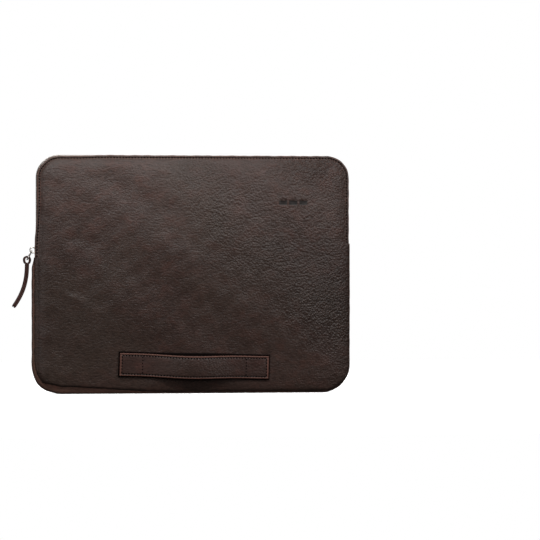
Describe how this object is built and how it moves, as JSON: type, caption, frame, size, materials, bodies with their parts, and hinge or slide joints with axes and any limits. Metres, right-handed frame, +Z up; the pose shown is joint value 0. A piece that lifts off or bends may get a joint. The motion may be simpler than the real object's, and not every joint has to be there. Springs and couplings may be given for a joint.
{
  "type": "laptop sleeve",
  "caption": "Padded leather laptop sleeve that stands on its bottom gusset, with a zip round its upper edge, a slider with ring and leather pull, and a sewn grab strap on the lower front.",
  "frame": {"origin": "middle of the flat bottom of the gusset, which the sleeve stands on", "axes": "+Z up, +X to the right as seen from the front, -Y out of the front face with the strap; the zip slider is on the -X side"},
  "size_m": [0.3533, 0.0368, 0.247],
  "materials": {
    "leather": "dark brown pebbled cow leather, satin",
    "strap_leather": "dark brown leather with bare cut edges, satin",
    "foam": "thin grey padding",
    "lining": "brown napped cloth",
    "zip_tape": "dark brown woven tape",
    "zip_teeth": "dark metal",
    "slider_metal": "polished nickel",
    "thread": "dark brown waxed thread"
  },
  "bodies": {
    "sleeve": {"back_leather": "leather", "front_leather_lower": "leather", "gusset_leather_left": "leather", "gusset_leather_bottom": "leather", "gusset_leather_right": "leather", "grab_strap_face": "strap_leather", "grab_strap_backing": "strap_leather", "back_foam": "foam", "front_foam_lower": "foam", "gusset_foam_left": "foam", "gusset_foam_bottom": "foam", "gusset_foam_right": "foam", "back_lining": "lining", "front_lining_lower": "lining", "gusset_lining_left": "lining", "gusset_lining_bottom": "lining", "gusset_lining_right": "lining", "back_zip_tape_left": "zip_tape", "back_zip_tape_top": "zip_tape", "back_zip_tape_right": "zip_tape", "front_zip_tape_left_end": "zip_tape", "front_zip_tape_right_end": "zip_tape", "back_zip_teeth_left": "zip_teeth", "back_zip_teeth_top": "zip_teeth", "back_zip_teeth_right": "zip_teeth", "front_zip_teeth_left_end": "zip_teeth", "front_zip_teeth_right_end": "zip_teeth", "zip_stop_left_front": "slider_metal", "zip_stop_left_back": "slider_metal", "zip_stop_right": "slider_metal", "back_edge_thread": "thread", "strap_border_thread": "thread", "strap_left_thread": "thread", "strap_right_thread": "thread"},
    "flap": {"front_leather_upper": "leather", "front_foam_upper": "foam", "front_lining_upper": "lining", "front_zip_tape_left": "zip_tape", "front_zip_tape_top": "zip_tape", "front_zip_tape_right": "zip_tape", "front_zip_teeth_left": "zip_teeth", "front_zip_teeth_top": "zip_teeth", "front_zip_teeth_right": "zip_teeth", "front_edge_thread": "thread"},
    "slider": {"zip_slider": "slider_metal"},
    "ring": {"pull_ring": "slider_metal"},
    "pull_tab": {"leather_pull_tab": "strap_leather"}
  },
  "joints": [
    {"name": "flap_fold", "type": "hinge", "parent": "sleeve", "child": "flap", "pos_m": [0, -0.012, 0.164], "axis": [1, 0, 0], "range_deg": [0, 90], "stiffness_Nm_per_rad": 0.05},
    {"name": "zip_slide", "type": "slide", "parent": "sleeve", "child": "slider", "axis": [0, 0, 1], "range_m": [0, 0.065]},
    {"name": "ring_swing", "type": "hinge", "parent": "slider", "child": "ring", "pos_m": [-0.16738, 0, 0.14785], "axis": [0, 1, 0], "range_deg": [-5, 100]},
    {"name": "pull_tab_swing", "type": "hinge", "parent": "ring", "child": "pull_tab", "pos_m": [-0.17242, 0, 0.13875], "axis": [0, 1, 0], "range_deg": [-5, 50]}
  ]
}
